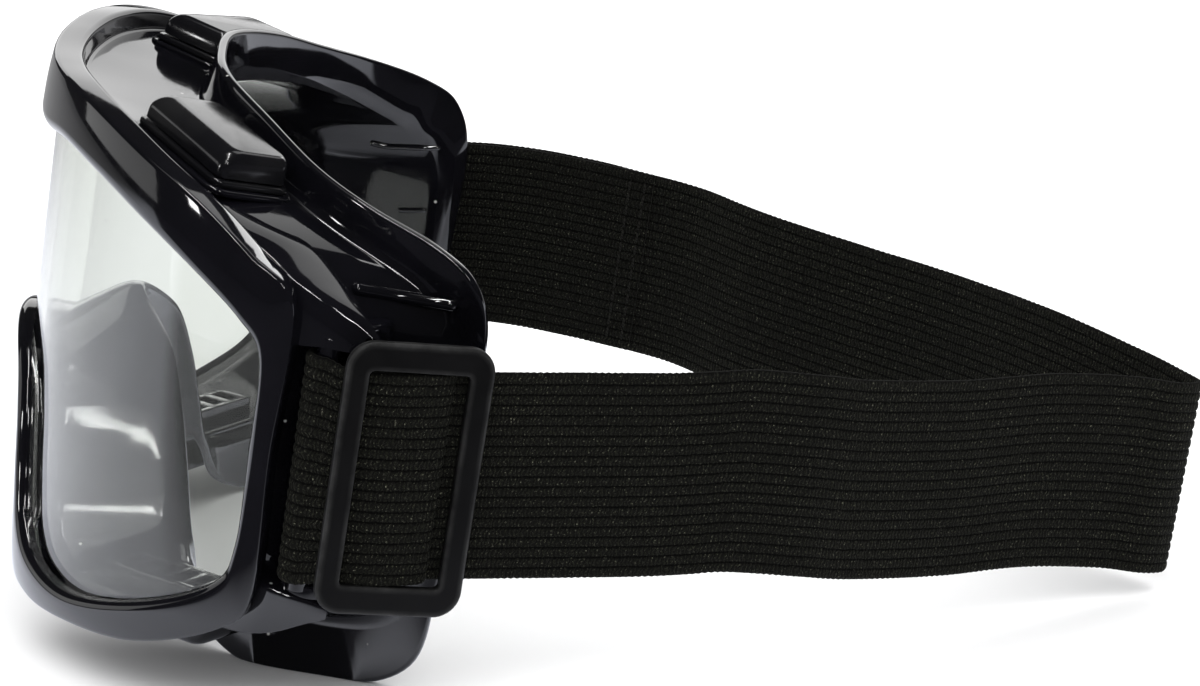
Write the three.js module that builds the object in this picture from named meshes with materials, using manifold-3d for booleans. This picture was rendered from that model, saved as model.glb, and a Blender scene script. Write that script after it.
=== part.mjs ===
// Safety goggles: a one-piece soft frame with a curved clear lens, four indirect
// vents, a ribbed elastic headband and a sliding buckle. Millimetres, +Z up,
// +X towards the wearer's left, -Y out of the front of the lens.
import * as THREE from 'three';
import { mergeVertices } from 'three/addons/utils/BufferGeometryUtils.js';
import Module from 'manifold-3d';

const wasm = await Module();
wasm.setup();

// ---------- Driving dimensions ----------
const PITCH = THREE.MathUtils.degToRad(8.5);   // the goggles lean back this far when set down
const LENS_HALF_WIDTH = 73;                    // semi-axes of the lens's elliptical plan
const LENS_HALF_DEPTH = 54.9;
const LENS_FRONT_Y = -21.5;
const LENS_THICKNESS = 1.8;
const LENS_OVERLAP = 2.0;                      // how far the lens edge sits in its groove
const GAP = 0.3;                               // clearance between touching pieces
const WALL = 2.0;                              // frame wall thickness
const STATIONS_PER_SPAN = 2;                   // frame sections between two outline points
const GROUND = 0.4;                            // height of the surface the goggles stand on

const BAND_WIDTH = 35;                         // elastic webbing
const BAND_THICKNESS = 1.2;
const LOOP_THICKNESS = 1.0;                    // the layers sewn round the slider's bar
const POST = { x: 71.2, y: 28.2, radius: 2.0, low: 26, high: 69 };
const FAR_BAND_Z = 48.9;                       // mid height of the band at the sewn end
const EARS = [[66.9, 71.6], [23.4, 28]];       // heights of the ears that carry the posts

// Rows of thread: size, what stays free at each edge, and distances of the rows from a sewn end.
const STITCH = { width: 0.9, height: 0.5, margin: 3, rows: [1.6, 4.6] };

const SLIDER = {
  length: 24.6, height: 46, corner: 4.5, windowLength: 16.8, windowHeight: 36.4,
  thickness: 2.0, barWidth: 4.0, barThickness: 1.6, barDepth: 2.9, y: 42.3,
  tilt: THREE.MathUtils.degToRad(3.3),          // it leans back from square to the band
};
// The band's end is sewn to itself in front of the slider's bar: place along the run, two depths.
const SEWN = { front: -9, outer: -1.5, inner: -2.9 };

const VENT = {
  length: 26.5, width: 13.4, height: 5.9, plate: 1.2, skin: 1.2, lip: 0.8,
  plugLength: 22, plugWidth: 8, plugDepth: 4, slots: 5, slotPitch: 4.2, slotWidth: 2.5,
};
const SEAT = { border: 2, radius: 4.9, depth: 2.4, recess: 1.1 };

// The band leaves the slider side on a straight run, so that the slider can travel on it.
const RUN = { x: 75.6, y: 30, z: 46.9, slopeX: -0.25, slopeZ: 0.05, endY: 99 };

// Right half of each outline, from the top middle round the temple to the middle of the nose.
// The first two lie on the lens: angle round the lens in degrees, height.
const OPENING = [
  [0, 82.5], [12.5, 83.4], [25, 85], [38, 83.5], [50, 79.8], [61, 74.8], [69.5, 69.3], [73.7, 63.5],
  [73.8, 48], [73.7, 32.5], [70.8, 25], [59, 18.2], [43, 12.9], [31, 13.4], [24.5, 17.5], [21.3, 25.5],
  [18, 36], [12.3, 43.9], [0, 47.3],
];
const RIM = [
  [0, 94.6], [12, 94.8], [24, 94.8], [36.5, 93.4], [48, 90.4], [60, 86.2], [70.5, 80], [78.3, 73],
  [77.7, 48], [77.7, 25], [73, 17.6], [58, 10.6], [42, 7.6], [29, 6.4], [21, 9.3], [17.5, 22.5],
  [14.3, 33.5], [10, 40.3], [0, 43],
];
// How far the wall steps in behind the rim bead.
const STEP = [4, 4, 4, 3.8, 3.6, 3.6, 4, 4.4, 4.6, 4.4, 3.8, 3.8, 3.6, 3, 1.6, 1.2, 1.2, 1, 0.8];
// Where the wall meets the face flange, and the free edge of the flange: x, y, z.
const CORNER = [
  [0, 2.8, 88.2], [17, 4.4, 87.8], [33, 11.6, 86.3], [45.5, 19.8, 84.2], [54, 29, 81], [59.5, 40, 76.5],
  [61.8, 46.5, 72], [62.5, 49.5, 64], [62.2, 49.5, 48], [61.6, 48.5, 31], [59, 44, 20], [52, 33, 15.4],
  [44.8, 20.3, 14.6], [35, 11, 14.4], [26.5, 7.3, 18.5], [20, 5.2, 27.5], [15.5, 2.8, 37], [10.2, -0.6, 45.6],
  [0, -6, 50.6],
];
const EDGE = [
  [0, 4.4, 97], [17.5, 6, 96.6], [34, 13.6, 93.8], [47, 22.2, 89.8], [56.3, 32, 86.3], [61.7, 43.5, 82.5],
  [64.6, 49.8, 78], [64, 53, 69.5], [62.7, 52.3, 48], [62.6, 51, 27], [62.5, 48.2, 12], [56.5, 36.5, 4.9],
  [48.5, 22.5, 3.4], [37, 13, 7], [27, 10.2, 15.5], [20.4, 8.2, 26.5], [15.8, 5.8, 37], [10.4, 2.4, 46.2],
  [0, -3.3, 52],
];
// Shoulders that run from the rim out over the ears. Each row, front to rear: foot, outer edge,
// crease and root.
const UPPER_SHOULDER = [
  [[59.5, 8.5, 82], [60.4, 7.8, 85.4], [56.6, 17.2, 81.6], [56.4, 16.4, 80.6]],
  [[63, 11.5, 79.5], [63.6, 12, 82.6], [58.8, 21.6, 81], [58.4, 21, 80]],
  [[65, 15.5, 75], [66.2, 16.6, 79.4], [61.2, 24.4, 79.9], [60.6, 24, 78.6]],
  [[70.6, 20.8, 67.5], [69.6, 20.7, 77], [66.5, 29.5, 76.2], [62.8, 28.5, 70.5]],
  [[73.2, 27.3, 67.3], [72, 27.2, 74.2], [70.5, 33.2, 73], [63.2, 32.5, 69]],
  [[74, 33.4, 67.2], [73.2, 33.6, 69.9], [73, 36.4, 69.5], [67, 36.4, 67.4]],
];
const LOWER_SHOULDER = [
  [[65.5, 20, 27.6], [66.6, 20, 27.4], [64.8, 15.4, 15.6], [63, 16, 16.4]],
  [[65, 22.6, 27.6], [71.6, 23, 26], [67.8, 20.6, 16], [62, 20.6, 16.8]],
  [[64.5, 25.5, 27.6], [73, 26, 25.4], [69.2, 25.4, 17.2], [61.6, 26, 17.5]],
  [[64, 30, 27.6], [73.6, 30.4, 24.9], [71.6, 30.4, 20.2], [62, 31, 19.5]],
  [[66, 34.5, 27.2], [73.6, 33.6, 24.6], [73, 33.4, 21.8], [67, 34.6, 23.8]],
];
const EAR = [
  [65.4, 23], [67.4, 22.2], [71.6, 23.6], [74.3, 27], [74.3, 31], [71.5, 35.5], [65.4, 38.5], [63.6, 36.5],
];

// ---------- Materials ----------
const pvc = { color: 0x0b0b0d, roughness: 0.15, metalness: 0 };
const clear = { color: 0xdfe6e8, roughness: 0.05, metalness: 0, transparent: true, opacity: 0.35 };
const webbing = { color: 0x10110f, roughness: 0.95, metalness: 0 };
const moulded = { color: 0x2b2b2e, roughness: 0.5, metalness: 0 };
const thread = { color: 0x1a1a1a, roughness: 0.8, metalness: 0 };

function piece(name, geometry, finish) {
  const mesh = new THREE.Mesh(geometry, new THREE.MeshStandardMaterial(finish));
  mesh.name = name;
  return mesh;
}

// ---------- Solids ----------
function toSolid(geometry) {
  const bare = geometry.clone();
  bare.deleteAttribute('normal');
  bare.deleteAttribute('uv');
  const merged = mergeVertices(bare, 1e-4);
  const vertProperties = new Float32Array(merged.attributes.position.array);
  const triVerts = new Uint32Array(merged.index.array);
  return new wasm.Manifold(new wasm.Mesh({ numProp: 3, vertProperties, triVerts }));
}

function toGeometry(solid) {
  const mesh = solid.getMesh();
  const geometry = new THREE.BufferGeometry();
  geometry.setAttribute('position', new THREE.BufferAttribute(new Float32Array(mesh.vertProperties), 3));
  geometry.setIndex(new THREE.BufferAttribute(new Uint32Array(mesh.triVerts), 1));
  geometry.computeVertexNormals();
  return geometry;
}

function placed(geometry, matrix) {
  return toSolid(geometry.clone().applyMatrix4(matrix));
}

// A skin through rings of points. A ring loft closes on itself; an open one gets flat end caps.
function loft(rings, closed) {
  const size = rings[0].length;
  const geometry = new THREE.BufferGeometry();
  geometry.setFromPoints(rings.flat());
  const index = [];
  const spans = closed ? rings.length : rings.length - 1;
  for (let i = 0; i < spans; i += 1) {
    const a = i * size;
    const b = ((i + 1) % rings.length) * size;
    for (let j = 0; j < size; j += 1) {
      const k = (j + 1) % size;
      index.push(a + j, b + j, b + k, a + j, b + k, a + k);
    }
  }
  if (!closed) {
    const last = (rings.length - 1) * size;
    for (let j = 1; j < size - 1; j += 1) {
      index.push(0, j, j + 1, last, last + j + 1, last + j);
    }
  }
  geometry.setIndex(index);
  return geometry;
}

function roundedRectangle(length, height, radius) {
  const x = length / 2;
  const y = height / 2;
  const shape = new THREE.Shape();
  shape.absarc(x - radius, y - radius, radius, 0, Math.PI / 2);
  shape.absarc(radius - x, y - radius, radius, Math.PI / 2, Math.PI);
  shape.absarc(radius - x, radius - y, radius, Math.PI, Math.PI * 1.5);
  shape.absarc(x - radius, radius - y, radius, Math.PI * 1.5, Math.PI * 2);
  return shape;
}

// A rounded rectangle plate between two heights.
function plate(length, height, radius, low, high, curveSegments = 4) {
  const shape = roundedRectangle(length, height, radius);
  const settings = { depth: high - low, bevelEnabled: false, curveSegments };
  return new THREE.ExtrudeGeometry(shape, settings).translate(0, 0, low);
}

// ---------- Lens surface ----------
// A point at an angle round the elliptical lens, a height, and a distance in front of it.
function onLens(angle, height, front) {
  const a = THREE.MathUtils.degToRad(angle);
  const normal = new THREE.Vector2(Math.sin(a) / LENS_HALF_WIDTH, -Math.cos(a) / LENS_HALF_DEPTH).normalize();
  const x = LENS_HALF_WIDTH * Math.sin(a) + normal.x * front;
  const y = LENS_FRONT_Y + LENS_HALF_DEPTH * (1 - Math.cos(a)) + normal.y * front;
  return new THREE.Vector3(x, y, height);
}

// A closed smooth curve through a half outline and its mirror image.
function mirroredCurve(half) {
  const points = half.map((p) => new THREE.Vector3(p[0], p[1] ?? 0, p[2] ?? 0));
  const mirrored = points.slice(1, -1).reverse().map((p) => new THREE.Vector3(-p.x, p.y, p.z));
  return new THREE.CatmullRomCurve3([...points, ...mirrored], true, 'catmullrom', 0.5);
}

const STATIONS = (OPENING.length - 1) * 2 * STATIONS_PER_SPAN;
const openingCurve = mirroredCurve(OPENING);
const rimCurve = mirroredCurve(RIM);
const cornerCurve = mirroredCurve(CORNER);
const edgeCurve = mirroredCurve(EDGE);
const stepCurve = mirroredCurve(STEP.map((s) => [0, s, 0]));

// Distance from the opening to the outer edge of the rim.
function rimWidth(u) {
  const inner = openingCurve.getPoint(u);
  const outer = rimCurve.getPoint(u);
  return onLens(inner.x, inner.y, 0).distanceTo(onLens(outer.x, outer.y, 0));
}

// A point on the rim, a distance out from the opening and a distance in front of the lens.
function acrossRim(u, outward, front) {
  const inner = openingCurve.getPoint(u);
  const outer = rimCurve.getPoint(u);
  const t = outward / rimWidth(u);
  return onLens(THREE.MathUtils.lerp(inner.x, outer.x, t), THREE.MathUtils.lerp(inner.y, outer.y, t), front);
}

// Where the wall starts behind the rim bead.
function wallFoot(u) {
  return acrossRim(u, rimWidth(u) - stepCurve.getPoint(u).y, -3.6);
}

// One closed section of the frame: lip, rim bead, wall, face flange, and the lens groove.
function frameSection(u) {
  const width = rimWidth(u);
  const foot = wallFoot(u);
  const corner = cornerCurve.getPoint(u);
  const edge = edgeCurve.getPoint(u);
  const flare = new THREE.Vector3().subVectors(edge, corner).normalize();
  const alongWall = new THREE.Vector3().subVectors(corner, foot).normalize();
  const ringwise = edgeCurve.getTangent(u);
  const inward = new THREE.Vector3().crossVectors(alongWall, ringwise).normalize();
  const behind = new THREE.Vector3().crossVectors(flare, ringwise).normalize();
  const bendStart = corner.clone().addScaledVector(alongWall, -4);
  const bendMiddle = corner.clone().addScaledVector(alongWall, -1.2).addScaledVector(flare, 0.9);
  const shoulder = edge.clone().lerp(corner, 0.45);
  const inner = (p, depth) => p.clone().addScaledVector(inward, depth);
  const rear = (p, depth) => p.clone().addScaledVector(behind, depth);
  return [
    acrossRim(u, 0, GAP),
    acrossRim(u, 0.2, 1.9),
    acrossRim(u, 1.1, 2.7),
    acrossRim(u, width - 0.6, 2.0),
    acrossRim(u, width, 1.3),
    acrossRim(u, width, -2.2),
    acrossRim(u, width - 0.5, -3.1),
    foot,
    bendStart,
    bendMiddle,
    shoulder,
    edge,
    rear(edge, 0.9).addScaledVector(flare, 0.4),
    rear(edge, 1.7),
    rear(shoulder, WALL),
    inner(bendMiddle, WALL).addScaledVector(alongWall, 1.0),
    inner(bendStart, WALL),
    acrossRim(u, 0.4, -5.2),
    acrossRim(u, 0.2, -4.4),
    acrossRim(u, 0.2, -LENS_THICKNESS - GAP),
    acrossRim(u, LENS_OVERLAP + GAP, -LENS_THICKNESS - GAP),
    acrossRim(u, LENS_OVERLAP + GAP, GAP),
  ];
}

// ---------- Vents ----------
// Each vent sits on a flat pad in the wall: its station round the outline, counted in outline points
// from the top middle, how far behind the middle of the wall it sits, and how far the pad stands out.
const VENTS = [
  { name: 'top_left', station: 2.75, back: 1.7, out: 0.3 },
  { name: 'top_right', station: -2.75, back: 1.7, out: 0.3 },
  { name: 'bottom_left', station: 12, back: 0, out: -1.2 },
  { name: 'bottom_right', station: -12, back: 0, out: -1.2 },
];

// The flat seat of a vent: x runs round the outline, y to the rear, z out of the wall.
function ventMatrix(vent) {
  const spans = (OPENING.length - 1) * 2;
  const middle = (u) => wallFoot((u + 1) % 1).lerp(cornerCurve.getPoint((u + 1) % 1), 0.5);
  const u = vent.station / spans;
  const round = new THREE.Vector3().subVectors(middle(u + 0.01), middle(u - 0.01)).normalize();
  const rear = new THREE.Vector3().subVectors(cornerCurve.getPoint((u + 1) % 1), wallFoot((u + 1) % 1));
  rear.addScaledVector(round, -rear.dot(round)).normalize();
  const out = new THREE.Vector3().crossVectors(round, rear);
  const seat = middle(u).addScaledVector(rear, vent.back).addScaledVector(out, vent.out);
  return new THREE.Matrix4().makeBasis(round, rear, out).setPosition(seat);
}

function ventBase() {
  const { length, width, lip, plugDepth, plugLength, plugWidth } = VENT;
  let solid = toSolid(plate(length + 2 * lip, width + 2 * lip, SEAT.radius - 0.9, GAP, VENT.plate));
  solid = solid.add(toSolid(plate(plugLength, plugWidth, 2, -plugDepth, VENT.plate - 0.2)));
  for (let i = 0; i < VENT.slots; i += 1) {
    const slot = new THREE.BoxGeometry(VENT.slotWidth, plugWidth - 2 * VENT.skin, 4 * plugDepth);
    slot.translate((i - (VENT.slots - 1) / 2) * VENT.slotPitch, 0, 0);
    solid = solid.subtract(toSolid(slot));
  }
  return toGeometry(solid);
}

// Cap section from front to rear: a rounded front, a flat top and a square rear with an air gap.
function capSection(length, width, high, low, radius) {
  const end = length / 2;
  const rings = [];
  const shape = [];
  const front = -width / 2;
  for (let i = 0; i <= 4; i += 1) {
    const a = (i / 4) * (Math.PI / 2);
    shape.push([front + radius * (1 - Math.cos(a)), high - radius * (1 - Math.sin(a))]);
  }
  shape.push([width / 2 - 0.8, high], [width / 2, high - 0.8], [width / 2, low], [front, low]);
  // Distances in from each end, and how far the section has grown there: more in height than width.
  const growth = [[0, 0.55], [0.7, 0.82], [2.4, 1]];
  const ends = [
    ...growth.map(([inset, grown]) => [inset - end, grown]),
    ...growth.reverse().map(([inset, grown]) => [end - inset, grown]),
  ];
  for (const [x, grown] of ends) {
    const tall = THREE.MathUtils.lerp(grown, 1, 0.25);
    const wide = THREE.MathUtils.lerp(grown, 1, 0.82);
    rings.push(shape.map(([y, z]) => new THREE.Vector3(x, y * wide, low + (z - low) * tall)));
  }
  return loft(rings, false);
}

function ventCap() {
  const low = VENT.plate + GAP;
  const skin = VENT.skin;
  const { length, width, height } = VENT;
  const outside = toSolid(capSection(length, width, height, low, 3.2));
  const hollow = toSolid(capSection(length - 2 * skin, width - 2 * skin, height - skin, low - 1, 2.4));
  const mouth = new THREE.BoxGeometry(0.65 * length, 4, 1.4).translate(0, width / 2, low + 0.5);
  return toGeometry(outside.subtract(hollow).subtract(toSolid(mouth)));
}

// ---------- Frame and lens ----------
// The moulded ear that carries the upper or lower end of a strap post.
function ear(side, low, high) {
  const shape = new THREE.Shape();
  shape.moveTo(EAR[0][0] * side, EAR[0][1]);
  shape.splineThru(EAR.slice(1).map(([x, y]) => new THREE.Vector2(x * side, y)));
  shape.closePath();
  const round = 0.6;
  const settings = {
    depth: high - low - 2 * round, curveSegments: 3,
    bevelEnabled: true, bevelSize: round, bevelThickness: round, bevelSegments: 2,
  };
  return new THREE.ExtrudeGeometry(shape, settings).translate(0, 0, low + round);
}

// A shoulder over an ear. Mirroring a ring, or turning it upside down, reverses its order.
function shoulder(side, rows, upsideDown) {
  const rings = rows.map((row) => row.map(([x, y, z]) => new THREE.Vector3(x * side, y, z)));
  if (side < 0 !== upsideDown) {
    rings.forEach((ring) => ring.reverse());
  }
  return loft(rings, false);
}

function strapPost(side) {
  const bar = new THREE.CylinderGeometry(POST.radius, POST.radius, POST.high - POST.low, 16);
  return bar.rotateX(Math.PI / 2).translate(POST.x * side, POST.y, (POST.high + POST.low) / 2);
}

function buildFrame() {
  const sections = [];
  for (let i = 0; i < STATIONS; i += 1) {
    sections.push(frameSection(i / STATIONS));
  }
  let solid = toSolid(loft(sections, true));
  for (const side of [1, -1]) {
    for (const [low, high] of EARS) {
      solid = solid.add(toSolid(ear(side, low, high)));
    }
    solid = solid.add(toSolid(shoulder(side, UPPER_SHOULDER, false)));
    solid = solid.add(toSolid(shoulder(side, LOWER_SHOULDER, true)));
    solid = solid.add(toSolid(strapPost(side)));
  }
  for (const vent of VENTS) {
    const matrix = ventMatrix(vent);
    const { border, radius, depth, recess } = SEAT;
    const { length, width, height, plugLength, plugWidth } = VENT;
    const pad = plate(length + 2 * border, width + 2 * border - 0.4, radius, -depth, 0);
    solid = solid.add(placed(pad, matrix));
    const hollow = plate(length + 2 * recess, width + 2 * recess, radius - 0.6, 0, height);
    solid = solid.subtract(placed(hollow, matrix));
    const hole = plate(plugLength + 2 * GAP, plugWidth + 2 * GAP, 2 + GAP, -2 * height, 2 * height);
    solid = solid.subtract(placed(hole, matrix));
  }
  const depth = 40;
  const below = new THREE.BoxGeometry(300, 300, depth).translate(0, 0, GROUND - depth / 2).rotateX(PITCH);
  solid = solid.subtract(toSolid(below));
  return toGeometry(solid);
}

// The lens: upright slices of the sheet from one temple to the other, each as tall as the outline there.
function buildLens() {
  const outline = [];
  for (let i = 0; i < STATIONS; i += 1) {
    const u = i / STATIONS;
    const inner = openingCurve.getPoint(u);
    const outer = rimCurve.getPoint(u);
    outline.push(new THREE.Vector2().lerpVectors(inner, outer, LENS_OVERLAP / rimWidth(u)));
  }
  const half = STATIONS / 2;
  const heightAt = (points, angle) => {
    const k = Math.max(1, points.findIndex((p) => p.x >= angle));
    const t = (angle - points[k - 1].x) / (points[k].x - points[k - 1].x);
    return THREE.MathUtils.lerp(points[k - 1].y, points[k].y, t);
  };
  const widest = outline.reduce((best, p, i) => (i < half && p.x > outline[best].x ? i : best), 0);
  const top = outline.slice(0, widest + 1);
  const bottom = outline.slice(widest, half + 1).reverse();
  const angles = [...top, ...bottom].map((p) => p.x).sort((p, q) => p - q);
  const columns = angles.filter((angle, i) => i === 0 || angle - angles[i - 1] > 0.4);
  columns[columns.length - 1] = outline[widest].x;
  const rings = [...columns.slice(1).reverse().map((angle) => -angle), ...columns].map((angle) => {
    const high = heightAt(top, Math.abs(angle));
    const low = heightAt(bottom, Math.abs(angle));
    const edge = high - low < 1 ? 0.5 : 0;
    return [
      onLens(angle, low - edge, 0),
      onLens(angle, high + edge, 0),
      onLens(angle, high + edge, -LENS_THICKNESS),
      onLens(angle, low - edge, -LENS_THICKNESS),
    ];
  });
  return loft(rings, false);
}

// ---------- Webbing ----------
// A flat band standing on edge along a path: its width runs up, its thickness across the path.
function ribbon(path, count, width, thickness, upright = new THREE.Vector3(0, 0, 1)) {
  const rings = [];
  for (let i = 0; i <= count; i += 1) {
    const t = i / count;
    const p = path.getPoint(t);
    const along = path.getTangent(t);
    const across = new THREE.Vector3(along.y, -along.x, 0).normalize().multiplyScalar(thickness / 2);
    const up = upright.clone().multiplyScalar(width / 2);
    rings.push([
      p.clone().sub(across).sub(up),
      p.clone().add(across).sub(up),
      p.clone().add(across).add(up),
      p.clone().sub(across).add(up),
    ]);
  }
  return loft(rings, false);
}

function runPoint(y) {
  return new THREE.Vector3(RUN.x + RUN.slopeX * (y - RUN.y), y, RUN.z + RUN.slopeZ * (y - RUN.y));
}
const runDirection = new THREE.Vector3(RUN.slopeX, 1, RUN.slopeZ).normalize();
const runOutward = new THREE.Vector3(runDirection.y, -runDirection.x, 0).normalize();

// Points round the front of a post, from its inner side to its outer side.
function foldPoints(side, z) {
  const radius = POST.radius + GAP + BAND_THICKNESS / 2;
  const points = [];
  for (const degrees of [180, 225, 270, 315, 360]) {
    const a = THREE.MathUtils.degToRad(degrees);
    points.push(new THREE.Vector3(side * (POST.x + radius * Math.cos(a)), POST.y + radius * Math.sin(a), z));
  }
  return points;
}

function bandPath() {
  const near = foldPoints(1, RUN.z);
  const run = [];
  for (let y = 32; y <= RUN.endY; y += 6.7) {
    run.push(runPoint(y));
  }
  const rear = [
    [54.8, 111, 50.4], [50, 120, 50], [41, 137, 49.3], [33, 153, 49], [27, 167.5, 49], [24.8, 176, 49],
    [21.5, 180.6, 49], [17.5, 179.6, 49], [7.8, 172.6, 49.2], [-7, 158.8, 49.6], [-25.5, 142.8, 50],
    [-37.5, 127, 50.5], [-48.5, 110, 51], [-60, 98.8, 51.2], [-66, 88.5, 51.5], [-71, 78, 51.7],
    [-73.8, 66, 51.7], [-74.8, 54, 51], [-75, 40, 49.1],
  ].map((p) => new THREE.Vector3(...p));
  const far = foldPoints(-1, FAR_BAND_Z).reverse();
  const tail = [
    [-70.6, 34, 48.9], [-72.9, 42, 49.3], [-73.25, 54, 51], [-72.2, 65.8, 51.7], [-69.4, 77.6, 51.7],
    [-64.4, 90.2, 51.6],
  ].map((p) => new THREE.Vector3(...p));
  return new THREE.CatmullRomCurve3([...near, ...run, ...rear, ...far, ...tail], false, 'catmullrom', 0.5);
}

// A point fixed to the slider: along the run from its middle, and outwards from the band.
function atSlider(along, outward) {
  return runPoint(SLIDER.y).addScaledVector(runDirection, along).addScaledVector(runOutward, outward);
}

const sliderAhead = runDirection.clone().applyAxisAngle(runOutward, -SLIDER.tilt);
const sliderUp = new THREE.Vector3().crossVectors(runOutward, sliderAhead);
const sliderMatrix = new THREE.Matrix4().makeBasis(sliderAhead, sliderUp, runOutward);
sliderMatrix.setPosition(atSlider(0, 0));

function buildSlider() {
  const low = BAND_THICKNESS / 2 + GAP;
  let solid = toSolid(plate(SLIDER.length, SLIDER.height, SLIDER.corner, low, low + SLIDER.thickness));
  solid = solid.subtract(toSolid(plate(SLIDER.windowLength, SLIDER.windowHeight, 0.8, -5, 9, 2)));
  const barLow = -SLIDER.barDepth - SLIDER.barThickness / 2;
  const reach = SLIDER.height - 3;
  solid = solid.add(toSolid(plate(SLIDER.barWidth, reach, 0.8, barLow, barLow + SLIDER.barThickness, 2)));
  for (const end of [1, -1]) {
    const leg = new THREE.BoxGeometry(SLIDER.barWidth, 3, low + 0.5 - barLow - 0.2);
    leg.translate(0, end * (reach / 2 - 1.7), (low + 0.5 + barLow + 0.2) / 2);
    solid = solid.add(toSolid(leg));
  }
  return toGeometry(solid).applyMatrix4(sliderMatrix);
}

// The band's end, folded round the slider's bar and sewn to itself in front of it.
function endLoopPath() {
  const round = SLIDER.barThickness / 2 + GAP + LOOP_THICKNESS / 2;
  const turn = SLIDER.barWidth / 2 - 0.2;
  const depth = SLIDER.barDepth;
  const points = [[SEWN.front, SEWN.outer], [-6.5, SEWN.outer], [-3.2, round - depth], [0.6, round - depth]];
  for (const degrees of [75, 45, 0, -45, -75]) {
    const a = THREE.MathUtils.degToRad(degrees);
    points.push([turn + round * Math.cos(a), round * Math.sin(a) - depth]);
  }
  points.push([0.6, -round - depth], [-3.2, -round - depth], [-6.5, SEWN.inner], [SEWN.front, SEWN.inner]);
  return new THREE.CatmullRomCurve3(points.map(([u, v]) => atSlider(u, v)), false, 'catmullrom', 0.5);
}

// The layer between the post and the sewn end, on the inner side.
function tailPath() {
  const start = SEWN.front - GAP;
  const inner = POST.x - POST.radius - GAP - BAND_THICKNESS / 2;
  const end = new THREE.Vector3(inner, POST.y + 1.4, RUN.z);
  const points = [
    atSlider(start, SEWN.inner), atSlider(start - 0.8, SEWN.inner), end.clone().setY(POST.y + 3), end,
  ];
  return new THREE.CatmullRomCurve3(points, false, 'catmullrom', 0.5);
}

// One row of thread from edge to edge of the band, lying just off one face of a layer.
function stitchRow(point, along, off) {
  const across = new THREE.Vector3(along.y, -along.x, 0).normalize();
  const basis = new THREE.Matrix4().makeBasis(along, new THREE.Vector3().crossVectors(across, along), across);
  const row = new THREE.BoxGeometry(STITCH.width, BAND_WIDTH - STITCH.margin, STITCH.height);
  return row.applyMatrix4(basis.setPosition(point.clone().addScaledVector(across, off)));
}

// A row on the inner face of the far tail, a share of the whole band's path from its sewn end.
function tailStitches(fromEnd) {
  const path = bandPath();
  const t = 1 - fromEnd / path.getLength();
  return stitchRow(path.getPointAt(t), path.getTangentAt(t), BAND_THICKNESS / 2 + GAP + STITCH.height / 2);
}

// ---------- Assembly ----------
const goggles = new THREE.Group();
goggles.rotation.x = -PITCH;
goggles.add(piece('face_frame', buildFrame(), pvc));
goggles.add(piece('lens', buildLens(), clear));
for (const vent of VENTS) {
  const seat = new THREE.Group();
  seat.applyMatrix4(ventMatrix(vent));
  seat.add(piece(`vent_base_${vent.name}`, ventBase(), pvc));
  seat.add(piece(`vent_cap_${vent.name}`, ventCap(), pvc));
  goggles.add(seat);
}
goggles.add(piece('headband', ribbon(bandPath(), 130, BAND_WIDTH, BAND_THICKNESS), webbing));
goggles.add(piece('headband_tail', ribbon(tailPath(), 6, BAND_WIDTH, LOOP_THICKNESS, sliderUp), webbing));
const endLoop = ribbon(endLoopPath(), 28, BAND_WIDTH, LOOP_THICKNESS, sliderUp);
goggles.add(piece('headband_end_loop', endLoop, webbing));
goggles.add(piece('slider', buildSlider(), moulded));
goggles.add(piece('anchor_stitching_rear', tailStitches(STITCH.rows[0]), thread));
goggles.add(piece('anchor_stitching_front', tailStitches(STITCH.rows[1]), thread));
const loopSeam = atSlider(SEWN.front + 1.6, SEWN.inner - LOOP_THICKNESS / 2 - GAP - STITCH.height / 2);
goggles.add(piece('slider_stitching', stitchRow(loopSeam, sliderAhead, 0), thread));

const model = new THREE.Group();
model.add(goggles);
model.updateMatrixWorld(true);
const box = new THREE.Box3().setFromObject(model, true);
const middle = box.getCenter(new THREE.Vector3());
model.position.set(-middle.x, -middle.y, -box.min.z);

export default model;
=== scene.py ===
"""Safety goggles: a soft glossy frame, a clear lens, four vents, a ribbed elastic headband and a slider.

Every piece is shaped in the goggles' own frame, in millimetres: +X towards the wearer's left, -Y out of
the lens, +Z up the lens. placed() sets it down in the row frame, where the goggles lean back.
"""
import math

import bmesh
import bpy
import numpy as np
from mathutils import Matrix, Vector
from mathutils.bvhtree import BVHTree


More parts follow.
